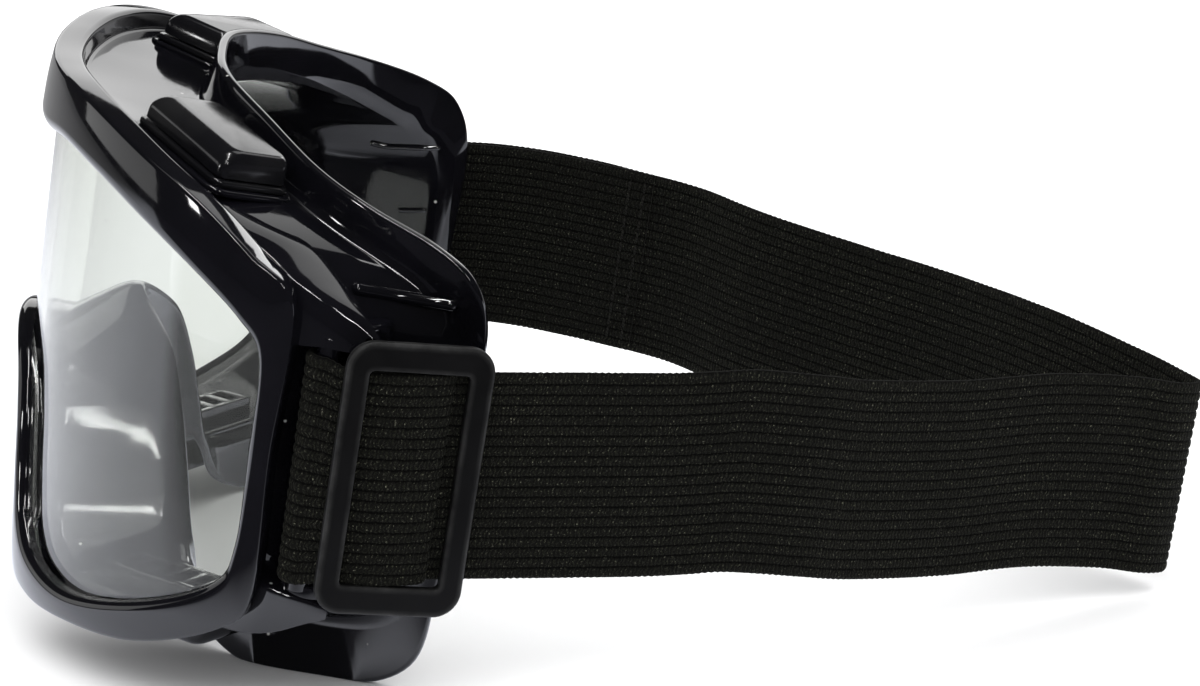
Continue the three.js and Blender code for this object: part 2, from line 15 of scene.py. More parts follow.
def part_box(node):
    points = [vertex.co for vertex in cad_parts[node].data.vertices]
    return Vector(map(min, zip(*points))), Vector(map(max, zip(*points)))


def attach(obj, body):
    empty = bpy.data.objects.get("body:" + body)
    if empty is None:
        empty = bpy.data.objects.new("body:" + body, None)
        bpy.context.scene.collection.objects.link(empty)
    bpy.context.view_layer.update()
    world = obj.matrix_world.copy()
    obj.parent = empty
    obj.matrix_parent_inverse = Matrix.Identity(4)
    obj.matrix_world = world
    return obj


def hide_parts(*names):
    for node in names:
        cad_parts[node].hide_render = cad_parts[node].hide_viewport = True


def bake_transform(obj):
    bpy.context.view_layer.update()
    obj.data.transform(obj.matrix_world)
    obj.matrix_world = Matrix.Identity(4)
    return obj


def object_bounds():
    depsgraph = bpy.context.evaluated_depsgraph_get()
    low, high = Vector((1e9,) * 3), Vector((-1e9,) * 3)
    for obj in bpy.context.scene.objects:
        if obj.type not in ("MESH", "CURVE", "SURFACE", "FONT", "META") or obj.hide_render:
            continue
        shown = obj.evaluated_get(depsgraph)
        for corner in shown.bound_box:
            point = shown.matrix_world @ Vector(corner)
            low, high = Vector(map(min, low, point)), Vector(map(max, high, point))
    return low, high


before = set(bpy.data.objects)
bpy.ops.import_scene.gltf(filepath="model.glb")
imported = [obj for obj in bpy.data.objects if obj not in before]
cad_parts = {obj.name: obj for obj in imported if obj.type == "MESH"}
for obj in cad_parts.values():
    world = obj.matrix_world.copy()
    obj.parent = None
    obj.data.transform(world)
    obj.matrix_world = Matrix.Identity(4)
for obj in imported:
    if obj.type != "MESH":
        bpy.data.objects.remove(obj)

cad_low, cad_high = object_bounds()

# ---------- Driving dimensions, in millimetres ----------
MM = 0.001
PITCH = math.radians(8.5)
LENS_HALF_WIDTH = 73.0
LENS_HALF_DEPTH = 54.9
LENS_FRONT_Y = -21.5
LENS_THICKNESS = 1.8
LENS_OVERLAP = 2.0
WALL = 2.0

BAND_WIDTH = 35.0
BAND_THICKNESS = 1.2
LOOP_THICKNESS = 1.0
RIBS = 20
STITCH_PITCH = 0.7      # slanted stitches along a rib
EDGE_BEAD = {"pitch": 1.05, "size": 0.16}
FLARE_RUN = 9.0
SLACK = {"from_y": 82, "fade": 20, "height": 0.8, "wave": 9.5}
POST = {"x": 71.2, "y": 28.2, "radius": 2.0, "low": 26.0, "high": 69.0}
RUN = {"x": 75.6, "y": 30.0, "z": 46.9, "slope_x": -0.25, "slope_z": 0.05, "end_y": 99.0}
SLIDER = {"length": 24.6, "height": 46.0, "corner": 4.5, "window_length": 16.8, "window_height": 36.4,
          "thickness": 2.0, "bar_width": 4.0, "bar_thickness": 1.6, "y": 42.3, "tilt": math.radians(3.3)}
BAR_DEPTH = 2.9
GAP = 0.3
SEWN = {"front": -9.0, "outer": -1.5, "inner": -2.9}
VENT = {"length": 26.5, "width": 13.4, "height": 5.9, "plate": 1.2}
GRILLE = {"length": 22.8, "width": 7.8, "pitch": 4.2, "rail_out": 3.3, "low": -3.9, "high": 0.4}

# The wearer's left half of each outline, from the top middle round the temple to the middle of the nose.
# The first two lie on the lens: angle round the lens in degrees, height.
OPENING = [
    (0, 82.5), (12.5, 83.4), (25, 85), (38, 83.5), (50, 79.8), (61, 74.8), (69.5, 69.3), (73.7, 63.5),
    (73.8, 48), (73.7, 32.5), (70.8, 25), (59, 18.2), (43, 12.9), (31, 13.4), (24.5, 17.5), (21.3, 25.5),
    (18, 36), (12.3, 43.9), (0, 47.3),
]
RIM = [
    (0, 94.6), (12, 94.8), (24, 94.8), (36.5, 93.4), (48, 90.4), (60, 86.2), (70.5, 80), (78.3, 73),
    (77.7, 48), (77.7, 25), (73, 17.6), (58, 10.6), (42, 7.6), (29, 6.4), (21, 9.3), (17.5, 22.5),
    (14.3, 33.5), (10, 40.3), (0, 43),
]
# How far the wall steps in behind the rim bead.
STEP = [4, 4, 4, 3.8, 3.6, 3.6, 4, 4.4, 4.6, 4.4, 3.8, 3.8, 3.6, 3, 1.6, 1.2, 1.2, 1, 0.8]
# Where the wall meets the face flange, and the free edge of the flange: x, y, z.
CORNER = [
    (0, 2.8, 88.2), (17, 4.4, 87.8), (33, 11.6, 86.3), (45.5, 19.8, 84.2), (54, 29, 81), (59.5, 40, 76.5),
    (61.8, 46.5, 72), (62.5, 49.5, 64), (62.2, 49.5, 48), (61.6, 48.5, 31), (59, 44, 20), (52, 33, 15.4),
    (44.8, 20.3, 14.6), (35, 11, 14.4), (26.5, 7.3, 18.5), (20, 5.2, 27.5), (15.5, 2.8, 37),
    (10.2, -0.6, 45.6), (0, -6, 50.6),
]
EDGE = [
    (0, 4.4, 97), (17.5, 6, 96.6), (34, 13.6, 93.8), (47, 22.2, 89.8), (56.3, 32, 86.3), (61.7, 43.5, 82.5),
    (64.6, 49.8, 78), (64, 53, 69.5), (62.7, 52.3, 48), (62.6, 51, 27), (62.5, 48.2, 12), (56.5, 36.5, 4.9),
    (48.5, 22.5, 3.4), (37, 13, 7), (27, 10.2, 15.5), (20.4, 8.2, 26.5), (15.8, 5.8, 37), (10.4, 2.4, 46.2),
    (0, -3.3, 52),
]
# station counts the outline's points from the top middle; back and out shift the seat from mid-wall.
VENTS = [
    {"name": "top_left", "station": 2.75, "back": 1.7, "out": 0.3},
    {"name": "top_right", "station": -2.75, "back": 1.7, "out": 0.3},
    {"name": "bottom_left", "station": 12, "back": 0, "out": -1.2},
    {"name": "bottom_right", "station": -12, "back": 0, "out": -1.2},
]
# Shoulders that run from the rim out over the ears. Each row, front to rear: foot, outer edge,
# crease and root.
UPPER_SHOULDER = [
    [(59.5, 8.5, 82), (60.4, 7.8, 85.4), (56.6, 17.2, 81.6), (56.4, 16.4, 80.6)],
    [(63, 11.5, 79.5), (63.6, 12, 82.6), (58.8, 21.6, 81), (58.4, 21, 80)],
    [(65, 15.5, 75), (66.2, 16.6, 79.4), (61.2, 24.4, 79.9), (60.6, 24, 78.6)],
    [(70.6, 20.8, 67.5), (69.6, 20.7, 77), (66.5, 29.5, 76.2), (62.8, 28.5, 70.5)],
    [(73.2, 27.3, 67.3), (72, 27.2, 74.2), (70.5, 33.2, 73), (63.2, 32.5, 69)],
    [(74, 33.4, 67.2), (73.2, 33.6, 69.9), (73, 36.4, 69.5), (67, 36.4, 67.4)],
]
LOWER_SHOULDER = [
    [(65.5, 20, 27.6), (66.6, 20, 27.4), (64.8, 15.4, 15.6), (63, 16, 16.4)],
    [(65, 22.6, 27.6), (71.6, 23, 26), (67.8, 20.6, 16), (62, 20.6, 16.8)],
    [(64.5, 25.5, 27.6), (73, 26, 25.4), (69.2, 25.4, 17.2), (61.6, 26, 17.5)],
    [(64, 30, 27.6), (73.6, 30.4, 24.9), (71.6, 30.4, 20.2), (62, 31, 19.5)],
    [(66, 34.5, 27.2), (73.6, 33.6, 24.6), (73, 33.4, 21.8), (67, 34.6, 23.8)],
]
# An ear's outline seen from above: x, y.
EAR = [(65.2, 25), (68.2, 24.8), (71, 25.6), (72.6, 28), (72.9, 31), (71.2, 34.8), (65.4, 38), (63.6, 36.5)]

# ---------- Placing ----------
lens_low, lens_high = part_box("lens")
# The own frame's zero, in the row frame, in millimetres.
ZERO_Y = -85.656
ZERO_Z = -0.4
ORIGIN = np.array([(lens_low[0] + lens_high[0]) / 2 / MM, ZERO_Y, ZERO_Z])
TILT = np.array([
    [1, 0, 0],
    [0, math.cos(PITCH), math.sin(PITCH)],
    [0, -math.sin(PITCH), math.cos(PITCH)],
])


def placed(points):
    """Points of the goggles' own frame, in millimetres, as points of the row frame in metres."""
    return (np.asarray(points, float) @ TILT.T + ORIGIN) * MM


def unit(v):
    v = np.asarray(v, float)
    return v / np.linalg.norm(v, axis=-1, keepdims=True)


# ---------- Curves ----------
def spline(points, closed=False):
    """A Catmull-Rom curve through the points, as a function of u from 0 to 1."""
    p = np.asarray(points, float)
    spans = len(p) if closed else len(p) - 1
    if closed:
        padded = np.vstack([p[-1:], p, p[:2]])
    else:
        padded = np.vstack([2 * p[:1] - p[1:2], p, 2 * p[-1:] - p[-2:-1]])

    def at(u):
        x = np.atleast_1d(u).astype(float)
        x = (x % 1.0 if closed else np.clip(x, 0, 1)) * spans
        i = np.minimum(x.astype(int), spans - 1)
        t = (x - i)[:, None]
        a, b, c, d = padded[i], padded[i + 1], padded[i + 2], padded[i + 3]
        bend = 2 * a - 5 * b + 4 * c - d
        twist = 3 * b - a - 3 * c + d
        return 0.5 * (2 * b + (c - a) * t + bend * t**2 + twist * t**3)

    return at


def mirrored(half):
    """A closed smooth curve through a half outline and its mirror image."""
    p = np.array([tuple(q) + (0,) * (3 - len(q)) for q in half], float)
    return spline(np.vstack([p, (p[1:-1] * [-1, 1, 1])[::-1]]), closed=True)


def on_lens(angle, height, front):
    """A point at an angle round the elliptical lens, a height, and a distance in front of it."""
    a = np.radians(angle)
    normal = unit(np.stack([np.sin(a) / LENS_HALF_WIDTH, -np.cos(a) / LENS_HALF_DEPTH], -1))
    x = LENS_HALF_WIDTH * np.sin(a) + normal[..., 0] * front
    y = LENS_FRONT_Y + LENS_HALF_DEPTH * (1 - np.cos(a)) + normal[..., 1] * front
    return np.stack([x, y, np.broadcast_to(height, x.shape)], -1)


opening_at = mirrored(OPENING)
rim_at = mirrored(RIM)
corner_at = mirrored(CORNER)
edge_at = mirrored(EDGE)
step_at = mirrored([(0, s) for s in STEP])
SPANS = 2 * (len(OPENING) - 1)


def rim_width(u):
    inner, outer = opening_at(u), rim_at(u)
    gap = on_lens(inner[:, 0], inner[:, 1], 0) - on_lens(outer[:, 0], outer[:, 1], 0)
    return np.linalg.norm(gap, axis=1)


def across(u, outward, front):
    """Points on the rim: a distance out from the opening, and a distance in front of the lens."""
    inner, outer = opening_at(u), rim_at(u)
    t = outward / rim_width(u)
    angle = inner[:, 0] + (outer[:, 0] - inner[:, 0]) * t
    height = inner[:, 1] + (outer[:, 1] - inner[:, 1]) * t
    return on_lens(angle, height, front)


def wall_foot(u):
    """Where the wall starts behind the rim bead."""
    return across(u, rim_width(u) - step_at(u)[:, 1], -3.6)


def tangent(curve, u, closed=True):
    step = 1e-3
    if closed:
        return unit(curve(u + step) - curve(u - step))
    return unit(curve(np.clip(u + step, 0, 1)) - curve(np.clip(u - step, 0, 1)))


def by_length(path, samples=4000):
    """The length of a path, and a function from a distance along it to its parameter."""
    u = np.linspace(0, 1, samples)
    run = np.concatenate([[0], np.cumsum(np.linalg.norm(np.diff(path(u), axis=0), axis=1))])
    return run[-1], lambda distance: np.interp(distance, run, u)


def filleted(corners):
    """Closed rings from corners given as (points, cut, steps): each corner becomes a small round."""
    rings = []
    count = len(corners)
    for k, (point, cut, steps) in enumerate(corners):
        before, after = corners[k - 1][0], corners[(k + 1) % count][0]
        if steps == 0:
            rings.append(point)
            continue
        to_before, to_after = before - point, after - point
        reach_before = np.minimum(cut, 0.45 * np.linalg.norm(to_before, axis=-1))[..., None]
        reach_after = np.minimum(cut, 0.45 * np.linalg.norm(to_after, axis=-1))[..., None]
        start = point + unit(to_before) * reach_before
        end = point + unit(to_after) * reach_after
        for i in range(steps + 1):
            t = i / steps
            rings.append((1 - t) ** 2 * start + 2 * t * (1 - t) * point + t**2 * end)
    return np.stack(rings, 1)


# ---------- Meshes ----------
def make(name, points, faces, material, sharp=40, uv=None):
    """A smooth-shaded mesh in the row frame from own-frame points; uv gives each vertex a texture place."""
    mesh = bpy.data.meshes.new(name)
    mesh.from_pydata([tuple(p) for p in placed(points)], [], [tuple(int(i) for i in f) for f in faces])
    mesh.validate()
    if uv is not None:
        layer = mesh.uv_layers.new(name="cloth")
        loops = np.empty(len(mesh.loops), int)
        mesh.loops.foreach_get("vertex_index", loops)
        layer.data.foreach_set("uv", np.asarray(uv, np.float32)[loops].ravel())
    work = bmesh.new()
    work.from_mesh(mesh)
    bmesh.ops.recalc_face_normals(work, faces=work.faces)
    limit = math.radians(sharp)
    for edge in work.edges:
        edge.smooth = len(edge.link_faces) == 2 and edge.calc_face_angle(0) < limit
    for face in work.faces:
        face.smooth = True
    work.to_mesh(mesh)
    work.free()
    mesh.materials.append(material)
    piece = bpy.data.objects.new(name, mesh)
    bpy.context.scene.collection.objects.link(piece)
    return piece


def loft(rings, closed):
    """Points and faces of a skin through an array of rings; an open one gets an end cap on each end."""
    count, size = rings.shape[:2]
    spans = count if closed else count - 1
    i = np.arange(spans)[:, None]
    j = np.arange(size)[None, :]
    a = i * size
    b = ((i + 1) % count) * size
    k = (j + 1) % size
    faces = np.stack(np.broadcast_arrays(a + j, b + j, b + k, a + k), -1).reshape(-1, 4).tolist()
    if not closed:
        faces.append(list(range(size))[::-1])
        faces.append(list(range((count - 1) * size, count * size)))
    return rings.reshape(-1, 3), faces


def lofted(name, rings, closed, material, **settings):
    points, faces = loft(rings, closed)
    return make(name, points, faces, material, **settings)


def rounded_outline(length, height, radius, steps=8):
    """Corner-rounded rectangle, counter-clockwise, as 2D points."""
    points = []
    for quarter, (sx, sy) in enumerate([(1, 1), (-1, 1), (-1, -1), (1, -1)]):
        centre = np.array([sx * (length / 2 - radius), sy * (height / 2 - radius)])
        for i in range(steps + 1):
            a = (quarter + i / steps) * math.pi / 2
            points.append(centre + radius * np.array([math.cos(a), math.sin(a)]))
    return np.array(points)


# ---------- Materials ----------
class Surface:
    """A node material on the standard shader, built up a few nodes at a time."""

    def __init__(self, name, **constants):
        self.material = bpy.data.materials.new(name)
        self.material.use_nodes = True
        self.nodes = self.material.node_tree.nodes
        self.links = self.material.node_tree.links
        self.shader = self.nodes["Principled BSDF"]
        for socket, value in constants.items():
            self.shader.inputs[socket.replace("_", " ")].default_value = value
        self.height = None

    def node(self, kind, settings=None, **inputs):
        made = self.nodes.new(kind)
        for key, value in (settings or {}).items():
            setattr(made, key, value)
        for key, value in inputs.items():
            numbered = key.startswith("in")
            socket = made.inputs[int(key[2:]) if numbered else key.replace("_", " ")]
            if isinstance(value, bpy.types.NodeSocket):
                self.links.new(value, socket)
            else:
                socket.default_value = value
        return made

    def place(self, kind="Object"):
        return self.node("ShaderNodeTexCoord").outputs[kind]

    def noise(self, scale, detail=3.0, roughness=0.5, vector=None):
        return self.node("ShaderNodeTexNoise", Scale=scale, Detail=detail, Roughness=roughness,
                         Vector=vector or self.place()).outputs["Fac"]

    def ramp(self, value, low, high):
        """value stretched so that low becomes 0 and high becomes 1, held in between."""
        made = self.node("ShaderNodeMapRange", {"clamp": True}, Value=value, From_Min=low, From_Max=high)
        return made.outputs["Result"]

    def maths(self, operation, a, b):
        return self.node("ShaderNodeMath", {"operation": operation}, in0=a, in1=b).outputs[0]

    def plus(self, a, b):
        return self.maths("ADD", a, b)

    def times(self, a, b):
        return self.maths("MULTIPLY", a, b)

    def mix(self, factor, a, b):
        made = self.node("ShaderNodeMix", {"data_type": "RGBA"})
        self.links.new(factor, made.inputs[0])
        for socket, value in ((made.inputs[6], a), (made.inputs[7], b)):
            if isinstance(value, bpy.types.NodeSocket):
                self.links.new(value, socket)
            else:
                socket.default_value = value
        return made.outputs[2]

    def colour(self, value):
        self.links.new(value, self.shader.inputs["Base Color"])

    def roughness(self, value, low, high):
        made = self.node("ShaderNodeMapRange", {"clamp": True}, Value=value, To_Min=low, To_Max=high)
        self.links.new(made.outputs["Result"], self.shader.inputs["Roughness"])

    def bump(self, value, distance_mm, strength=1.0):
        made = self.node("ShaderNodeBump", Strength=strength, Distance=distance_mm * MM, Height=value)
        if self.height is not None:
            self.links.new(self.height, made.inputs["Normal"])
        self.height = made.outputs["Normal"]
        self.links.new(self.height, self.shader.inputs["Normal"])

    def specks(self, colour, base, scale, size):
        """Dust: small bright specks, sparse and uneven."""
        cells = self.node("ShaderNodeTexVoronoi", Scale=scale, Randomness=1.0, Vector=self.place())
        near = self.ramp(cells.outputs["Distance"], size, size * 0.55)
        chance = self.node("ShaderNodeSeparateColor", in0=cells.outputs["Color"]).outputs[0]
        return self.mix(self.times(near, self.ramp(chance, 0.9, 0.93)), base, colour)


def soft_pvc():
    """Black glossy moulded PVC: slightly wavy, faintly marked, with a little dust."""
    s = Surface("soft_pvc", Specular_IOR_Level=0.5, IOR=1.5)
    cloud = s.noise(38.0, 4.0, 0.55)
    base = s.mix(s.ramp(cloud, 0.35, 0.75), (0.0022, 0.0022, 0.003, 1), (0.0048, 0.0046, 0.0066, 1))
    s.colour(s.specks((0.42, 0.42, 0.4, 1), base, 230.0, 0.085))
    s.roughness(s.times(s.noise(90.0, 6.0, 0.6), s.noise(900.0, 2.0)), 0.02, 0.2)
    s.bump(s.noise(46.0, 1.5, 0.4), 0.22, 0.28)
    s.bump(s.noise(2600.0, 2.0), 0.0005, 0.6)
    return s.material


def vent_plastic():
    """Harder glossy plastic with a fine moulded grain and a little dust."""
    s = Surface("vent_plastic", Specular_IOR_Level=0.45, Roughness=0.2, IOR=1.5)
    base = s.mix(s.ramp(s.noise(60.0), 0.4, 0.7), (0.004, 0.004, 0.005, 1), (0.009, 0.009, 0.0095, 1))
    s.colour(s.specks((0.25, 0.25, 0.24, 1), base, 260.0, 0.07))
    s.roughness(s.noise(300.0, 5.0, 0.6), 0.05, 0.24)
    s.bump(s.noise(70.0, 1.0), 0.08, 0.5)
    s.bump(s.noise(3000.0, 2.0), 0.002, 0.7)
    return s.material


def clear_polycarbonate():
    """Clear sheet with the faintest grey, wiped smears and a few specks of dust."""
    s = Surface("clear_polycarbonate", Transmission_Weight=1.0, IOR=1.5, Roughness=0.0,
                Specular_IOR_Level=0.3)
    s.colour(s.specks((0.6, 0.6, 0.6, 1), (0.9, 0.915, 0.895, 1), 120.0, 0.05))
    s.roughness(s.ramp(s.noise(22.0, 5.0, 0.6), 0.5, 0.85), 0.0, 0.012)
    s.bump(s.noise(14.0, 1.0), 0.05, 0.35)
    return s.material


def elastic_webbing():
    """Black woven elastic: rows of small slanted stitches on each rib with painted highlights, painted shade
    in the grooves, stray pale fibres.
    """
    s = Surface("elastic_webbing", Roughness=0.95, Specular_IOR_Level=0.06, Sheen_Weight=0.03,
                Sheen_Roughness=0.5, Sheen_Tint=(0.8, 0.8, 0.68, 1))
    place = s.place("UV")
    split = s.node("ShaderNodeSeparateXYZ", in0=place)
    along, over = split.outputs[0], split.outputs[1]
    square = s.node("ShaderNodeVectorMath", {"operation": "MULTIPLY"}, in0=place,
                    in1=(1.0, BAND_WIDTH, 1.0)).outputs[0]
    wobble = s.times(s.noise(0.8, 2.0, 0.5, square), 0.35)
    rib = s.plus(s.times(over, float(RIBS)), wobble)
    side = s.maths("PINGPONG", s.maths("SUBTRACT", rib, 0.175), 0.5)
    crest = s.ramp(side, 0.02, 0.2)
    jitter = s.times(s.noise(0.9, 3.0, 0.6, square), 2.6)
    slanted = s.plus(s.plus(s.times(along, 1.0 / STITCH_PITCH), s.times(side, 0.9)), jitter)
    wave = s.maths("SINE", s.times(slanted, 2 * math.pi), 0.0)
    stitch = s.times(s.ramp(wave, -0.5, 0.9), crest)
    grain = s.noise(2.6, 4.0, 0.7, square)
    patch = s.ramp(s.noise(0.05, 2.0, 0.5, square), 0.25, 0.7)
    # Painted shade: the grooves between the ribs are darker and the crests lighter.
    base = s.mix(crest, (0.0008, 0.0008, 0.0007, 1), (0.0036, 0.0036, 0.003, 1))
    # Painted highlight: the stitches on the crests are coloured lighter, as if lit; patch varies that at
    # random.
    lit = s.times(s.times(stitch, s.ramp(grain, 0.42, 0.68)), s.plus(s.times(patch, 0.6), 0.4))
    olive = s.ramp(s.noise(1.1, 2.0, 0.6, square), 0.45, 0.6)
    threads = s.mix(lit, base, s.mix(olive, (0.019, 0.021, 0.0125, 1), (0.028, 0.028, 0.023, 1)))
    fibres = s.times(s.ramp(grain, 0.6, 0.7), stitch)
    s.colour(s.mix(fibres, threads, (0.22, 0.22, 0.165, 1)))
    s.bump(stitch, 0.22, 1.0)
    s.bump(grain, 0.14, 0.8)
    return s.material


def slider_plastic():
    """Satin black moulding, greyer on its edges, partly by wear and partly by a painted highlight."""
    s = Surface("slider_plastic", Roughness=0.42, Specular_IOR_Level=0.12, IOR=1.48)
    cloud = s.ramp(s.noise(85.0, 4.0, 0.6), 0.3, 0.75)
    base = s.mix(cloud, (0.0018, 0.0018, 0.0019, 1), (0.004, 0.0039, 0.0041, 1))
    # The edge attribute marks where the colour goes greyer: partly wear, partly a painted highlight on the
    # rounded edges and sides.
    wear_and_highlight = s.node("ShaderNodeAttribute", {"attribute_name": "edge"}).outputs["Fac"]
    patchy_wear_and_highlight = s.times(wear_and_highlight, s.ramp(s.noise(160.0, 5.0, 0.7), 0.25, 0.75))
    s.colour(s.mix(patchy_wear_and_highlight, base, (0.034, 0.034, 0.034, 1)))
    s.roughness(s.noise(420.0, 5.0, 0.65), 0.36, 0.58)
    s.bump(s.noise(1500.0, 3.0), 0.012, 0.7)
    s.bump(s.noise(60.0, 1.0), 0.06, 0.4)
    return s.material


def sewing_thread():
    """Twisted black thread."""
    s = Surface("sewing_thread", Roughness=0.8, Specular_IOR_Level=0.1)
    twist = s.node("ShaderNodeTexWave", {"bands_direction": "DIAGONAL"}, Scale=900.0, Distortion=1.5,
                   Vector=s.place()).outputs["Fac"]
    s.colour(s.mix(twist, (0.004, 0.004, 0.0035, 1), (0.017, 0.0165, 0.014, 1)))
    s.bump(twist, 0.08, 0.8)
    return s.material


def pale_floor():
    """Near white to the eye, and greyer through the lens by painted shade.

    Its mirrored colour is a painted reflection: brighter than white under the goggles, greyer past
    their far side and a painted dark strip on the camera's side of them.
    """
    s = Surface("pale_floor", Roughness=0.9, Specular_IOR_Level=0.05)
    pale = s.mix(s.noise(3.0), (0.90, 0.90, 0.905, 1), (0.92, 0.92, 0.925, 1))
    rays = s.node("ShaderNodeLightPath").outputs
    # Painted shade: the floor seen through the lens is coloured greyer.
    pale = s.mix(rays["Is Transmission Ray"], pale, (0.6, 0.61, 0.6, 1))
    mirrored_only = s.times(rays["Is Glossy Ray"], s.maths("SUBTRACT", 1.0, rays["Is Transmission Ray"]))
    x = s.node("ShaderNodeSeparateXYZ", in0=s.place()).outputs[0]
    # Painted reflection: mirrored rays see a floor brighter than white near the goggles and grey further
    # back.
    behind = s.mix(s.ramp(x, -0.05, -0.4), (1.15, 1.18, 1.3, 1), (0.26, 0.26, 0.265, 1))
    # Painted shade in reflections: mirrored rays see a near black strip on the camera's side.
    strip = s.mix(s.ramp(x, 0.085, 0.14), behind, (0.05, 0.05, 0.06, 1))
    s.colour(s.mix(mirrored_only, pale, strip))
    return s.material


PVC = soft_pvc()
VENT_PLASTIC = vent_plastic()
CLEAR = clear_polycarbonate()
WEBBING = elastic_webbing()
SLIDER_PLASTIC = slider_plastic()
THREAD = sewing_thread()


def finish_piece(piece, body, slot, *nodes):
    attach(piece, body)
    if nodes:
        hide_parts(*nodes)
    return piece


# ---------- Camera ----------
TARGET = (np.array([0, 85.0, 41.0]) + ORIGIN) * MM
AZIMUTH = math.radians(86.7)
ELEVATION = math.radians(16.5)
DISTANCE = 0.724
FOCAL_IN_WIDTHS = 4070 / 1200


def make_camera():
    back = Vector((math.sin(AZIMUTH) * math.cos(ELEVATION), -math.cos(AZIMUTH) * math.cos(ELEVATION),
                   math.sin(ELEVATION)))
    camera = bpy.data.objects.new("camera", bpy.data.cameras.new("camera"))
    camera.data.sensor_width = 36.0
    camera.data.lens = 36.0 * FOCAL_IN_WIDTHS
    camera.data.clip_start = 0.01
    camera.location = Vector(TARGET) + back * DISTANCE
    camera.rotation_mode = "QUATERNION"
    camera.rotation_quaternion = (-back).to_track_quat("-Z", "Y")
    bpy.context.scene.collection.objects.link(camera)
    bpy.context.scene.camera = camera


# ---------- Frame ----------
def frame_rings(u):
    """The frame's section at each u: lip, rim bead, wall, face flange, and the lens groove."""
    width = rim_width(u)
    foot = wall_foot(u)
    corner = corner_at(u)
    edge = edge_at(u)
    flare = unit(edge - corner)
    along = unit(corner - foot)
    ring = tangent(edge_at, u)
    inward = unit(np.cross(along, ring))
    behind = unit(np.cross(flare, ring))
    tip = edge + flare * 0.4
    inner_corner = corner + (inward + behind) * WALL * 0.75 + along * 0.6
    touch = 0.04
    return filleted([
        (across(u, -0.05, touch), 0, 0),
        (across(u, -0.05, 1.7), 0.7, 3),
        (across(u, 1.2, 2.85), 1.3, 4),
        (across(u, width * 0.6, 2.55), 3.0, 4),
        (across(u, width, 1.85), 0.75, 4),
        (across(u, width, -3.3), 1.1, 5),
        (foot, 0.7, 4),
        (corner, 2.6, 6),
        (tip, 0.75, 4),
        (tip + behind * 1.7, 0.75, 4),
        (inner_corner, 4.0, 6),
        (across(u, 0.0, -5.4), 0.9, 4),
        (across(u, 0.0, -LENS_THICKNESS - touch), 0, 0),
        (across(u, LENS_OVERLAP + GAP, -LENS_THICKNESS - touch), 0, 0),
        (across(u, LENS_OVERLAP + GAP, touch), 0, 0),
    ])


def build_frame():
    stations = SPANS * 10
    rings = frame_rings(np.arange(stations) / stations)
    sunk = np.maximum(0, 0.02 - placed(rings)[..., 2] / MM)
    rings[..., 2] += sunk / math.cos(PITCH)
    shell = lofted("frame_shell", rings, True, PVC, sharp=50)
    return finish_piece(shell, "goggles", "soft_frame", "face_frame")


def slab(name, outline, low, high, radius):
    """A plate with a rounded rim from a closed outline in X and Y, standing between two heights."""
    outline = np.asarray(outline, float)
    ahead = unit(np.roll(outline, -1, 0) - np.roll(outline, 1, 0))
    outward = np.stack([ahead[:, 1], -ahead[:, 0]], -1)
    rings = []
    steps = 5
    for low_side in (True, False):
        for i in range(steps + 1):
            a = (i if low_side else steps - i) / steps * math.pi / 2
            inset = radius * (1 - math.sin(a))
            z = low + radius * (1 - math.cos(a)) if low_side else high - radius * (1 - math.cos(a))
            ring = outline - outward * inset
            rings.append(np.column_stack([ring, np.full(len(ring), z)]))
    return lofted(name, np.array(rings), False, PVC)


def build_ears():
    """The four ears and the two posts between them."""
    for side, where in ((1, "left"), (-1, "right")):
        outline = spline([(x * side, y) for x, y in EAR], closed=True)(np.arange(64) / 64)
        if side < 0:
            outline = outline[::-1]
        for low, high, level in ((67.35, 71.2, "upper"), (24.0, 27.5, "lower")):
            ear = slab(f"ear_{level}_{where}", outline, low, high, 0.8)
            finish_piece(ear, "goggles", "soft_frame")
        angle = np.arange(32) / 32 * 2 * math.pi
        circle = np.stack([POST["x"] * side + POST["radius"] * np.cos(angle),
                           POST["y"] + POST["radius"] * np.sin(angle)], -1)
        post = slab(f"strap_post_{where}", circle, POST["low"], POST["high"], 0.2)
        finish_piece(post, "goggles", "soft_frame")


def build_shoulders():
    """The shoulders that carry the rim out over each ear, with a soft outer edge and a crisp crease."""
    for rows, level in ((UPPER_SHOULDER, "upper"), (LOWER_SHOULDER, "lower")):
        fine = np.linspace(0, 1, 61)
        foot, edge, crease, root = (spline([row[k] for row in rows])(fine) for k in range(4))
        crown = (edge + crease) / 2 + unit(edge + crease - foot - root) * 0.5
        rings = filleted([(foot, 0.3, 2), (edge, 0.9, 5), (crown, 3.0, 4), (crease, 0.35, 3), (root, 0, 0)])
        for side, where in ((1, "left"), (-1, "right")):
            shoulder = lofted(f"shoulder_{level}_{where}", rings * [side, 1, 1], False, PVC, sharp=35)
            finish_piece(shoulder, "goggles", "soft_frame")


def rod(name, points, radius, outward, steps=40):
    """A thin round bead along a smooth line, with rounded ends."""
    path = spline(points)
    u = np.linspace(0, 1, steps + 1)
    centre = path(u)
    ahead = tangent(path, u, closed=False)
    outward = unit(outward - ahead * (ahead * outward).sum(1, keepdims=True))
    side = np.cross(ahead, outward)
    run = np.linalg.norm(np.diff(centre, axis=0), axis=1).sum() * u
    near_end = np.minimum(run, run[-1] - run)
    size = np.sqrt(np.clip(1 - (1 - np.clip(near_end / radius, 0, 1)) ** 2, 0.01, 1))[:, None]
    angle = np.arange(12) / 12 * 2 * math.pi
    rings = [centre + (side * math.cos(a) + outward * math.sin(a)) * radius * size for a in angle]
    return lofted(name, np.array(rings).transpose(1, 0, 2), False, PVC, sharp=70)


